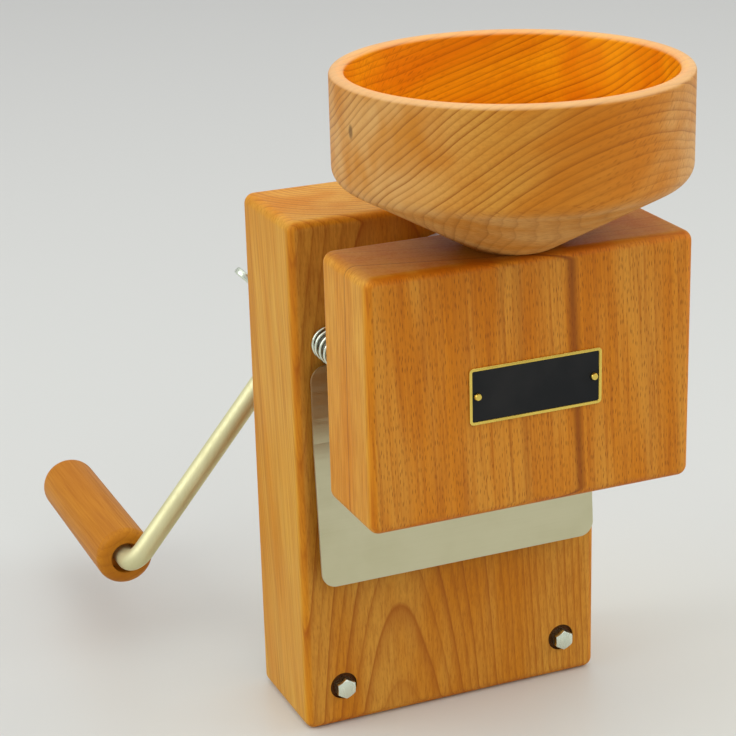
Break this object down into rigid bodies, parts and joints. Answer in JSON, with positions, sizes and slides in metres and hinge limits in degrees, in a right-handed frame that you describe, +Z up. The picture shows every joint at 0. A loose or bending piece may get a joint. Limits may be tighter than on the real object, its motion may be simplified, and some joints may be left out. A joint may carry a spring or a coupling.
{
  "type": "hand grain mill",
  "caption": "Wooden hand grain mill with a turned hopper on a front block, dressed millstones between two blocks, a sheet chute, wing-nut fineness setting and a bent crank with a wooden grip.",
  "frame": {"origin": "centre of the back block's base face, on the surface that the mill stands on", "axes": "+Z up, +X to the right as seen from the front, +Y to the rear along the crank shaft"},
  "size_m": [0.1992, 0.3549, 0.301],
  "materials": {
    "beech_block": "oiled solid beech, upright grain",
    "beech_hopper": "oiled turned beech",
    "beech_grip": "oiled turned beech",
    "stainless": "satin stainless sheet",
    "zinc_steel": "bright zinc plated steel",
    "black_steel": "blackened steel",
    "bronze": "sintered bronze",
    "cast_aluminium": "cast and turned",
    "millstone": "bonded corundum grit",
    "name_plate": "bare black plate with a brass rim",
    "brass": "polished brass"
  },
  "bodies": {
    "stand": {"back_block": "beech_block", "chute_plate": "stainless", "chute_spacers": "stainless", "chute_screws": "stainless", "front_bush": "bronze", "rear_bush": "bronze", "left_spring": "zinc_steel", "right_spring": "zinc_steel", "wing_washers": "zinc_steel", "fixing_bolts": "zinc_steel", "fixing_washers": "zinc_steel", "fixing_nuts": "zinc_steel"},
    "front_housing": {"front_block": "beech_block", "fixed_stone": "millstone", "guide_studs": "zinc_steel", "name_plate": "name_plate", "name_plate_pins": "brass"},
    "hopper": {"hopper": "beech_hopper"},
    "crank": {"crank_rod": "zinc_steel", "thrust_washer": "zinc_steel", "stone_carrier": "cast_aluminium", "runner_stone": "millstone", "drive_pin": "zinc_steel", "feed_screw": "zinc_steel", "shaft_nut": "zinc_steel", "set_collar": "zinc_steel", "collar_screw": "black_steel", "grip_washer": "zinc_steel", "grip_screw": "zinc_steel"},
    "grip": {"grip": "beech_grip"},
    "left_wing_nut": {"left_wing_nut": "zinc_steel"},
    "right_wing_nut": {"right_wing_nut": "zinc_steel"}
  },
  "joints": [
    {"name": "fineness_slide", "type": "slide", "parent": "stand", "child": "front_housing", "axis": [0, -1, 0], "range_m": [0, 0.006], "deforming": ["left_spring", "right_spring"]},
    {"name": "left_nut_turn", "type": "hinge", "parent": "stand", "child": "left_wing_nut", "pos_m": [-0.056, 0.0296, 0.1795], "axis": [0, 1, 0], "range_deg": [0, 1730]},
    {"name": "right_nut_turn", "type": "hinge", "parent": "stand", "child": "right_wing_nut", "pos_m": [0.056, 0.0296, 0.1795], "axis": [0, 1, 0], "range_deg": [0, 1730]},
    {"name": "hopper_lift", "type": "slide", "parent": "front_housing", "child": "hopper", "axis": [0, 0, 1], "range_m": [0, 0.1]},
    {"name": "crank_turn", "type": "hinge", "parent": "stand", "child": "crank", "pos_m": [0, 0, 0.1795], "axis": [0, 1, 0], "continuous": true},
    {"name": "grip_spin", "type": "hinge", "parent": "crank", "child": "grip", "pos_m": [-0.11442, 0.082, 0.04314], "axis": [0, 1, 0], "continuous": true}
  ],
  "couplings": [
    {"joint": "left_nut_turn", "follows": "fineness_slide", "rad_per_m": 5026.5},
    {"joint": "right_nut_turn", "follows": "fineness_slide", "rad_per_m": 5026.5}
  ]
}
